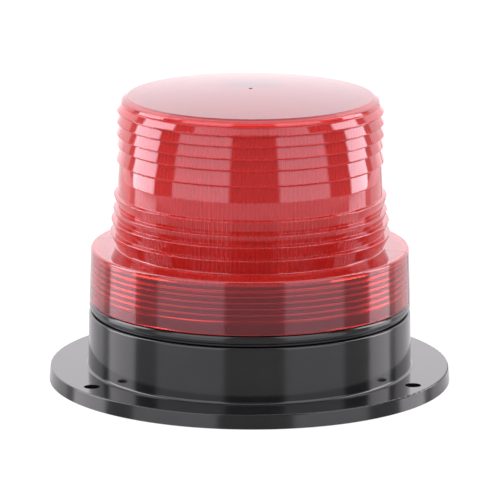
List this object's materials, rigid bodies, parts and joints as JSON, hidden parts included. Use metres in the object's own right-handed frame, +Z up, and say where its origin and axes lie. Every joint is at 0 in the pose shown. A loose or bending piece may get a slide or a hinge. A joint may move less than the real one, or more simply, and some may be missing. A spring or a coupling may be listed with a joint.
{
  "type": "warning beacon",
  "caption": "Low-profile warning beacon: black flanged screw-down base and a red Fresnel lens that unscrews from a threaded neck over an LED tower.",
  "frame": {"origin": "centre of the flange's underside, on the surface that the beacon stands on", "axes": "+Z up along the beacon's axis, -Y to the front; one flange hole is at +Y"},
  "size_m": [0.165, 0.165, 0.1213],
  "materials": {
    "black_abs": "gloss",
    "black_rubber": "satin",
    "grey_foam": "matt",
    "red_polycarbonate": "gloss",
    "zinc_steel": "satin",
    "brass": "satin",
    "green_nylon": "satin",
    "circuit_board": "satin",
    "ferrite": "matt",
    "capacitor_sleeve": "gloss",
    "chip_epoxy": "matt",
    "fuse_glass": "gloss",
    "white_nylon": "satin",
    "aluminium": "satin",
    "led_board_white": "satin",
    "led_package": "gloss"
  },
  "bodies": {
    "base": {"base_housing": "black_abs", "bottom_cover": "black_abs", "cover_gasket": "grey_foam", "cover_screws": "zinc_steel", "cable_grommet": "black_rubber", "terminal_block": "green_nylon", "terminal_screws": "brass", "terminal_block_screw": "zinc_steel", "lower_standoffs": "brass", "driver_board": "circuit_board", "storage_inductor": "ferrite", "smoothing_capacitors": "capacitor_sleeve", "driver_chip": "chip_epoxy", "bridge_rectifier": "chip_epoxy", "fuse_holder": "chip_epoxy", "fuse": "fuse_glass", "lead_header": "white_nylon", "upper_standoffs": "brass", "reflector_plate": "white_nylon", "plate_screws": "zinc_steel", "led_tower": "aluminium", "tower_screws": "zinc_steel", "top_board": "led_board_white", "top_leds": "led_package", "led_board_1": "led_board_white", "led_board_2": "led_board_white", "led_board_3": "led_board_white", "led_board_4": "led_board_white", "led_board_5": "led_board_white", "led_board_6": "led_board_white", "led_row_1": "led_package", "led_row_2": "led_package", "led_row_3": "led_package", "led_row_4": "led_package", "led_row_5": "led_package", "led_row_6": "led_package"},
    "seal": {"seal_ring": "black_rubber"},
    "lens": {"lens": "red_polycarbonate"}
  },
  "joints": [
    {"name": "lens_lift", "type": "slide", "parent": "base", "child": "seal", "axis": [0, 0, 1], "range_m": [0, 0.015]},
    {"name": "lens_turn", "type": "hinge", "parent": "seal", "child": "lens", "pos_m": [0, 0, 0.05], "axis": [0, 0, 1], "range_deg": [0, 2160]}
  ],
  "couplings": [
    {"joint": "lens_lift", "follows": "lens_turn", "m_per_rad": 0.00039789}
  ]
}
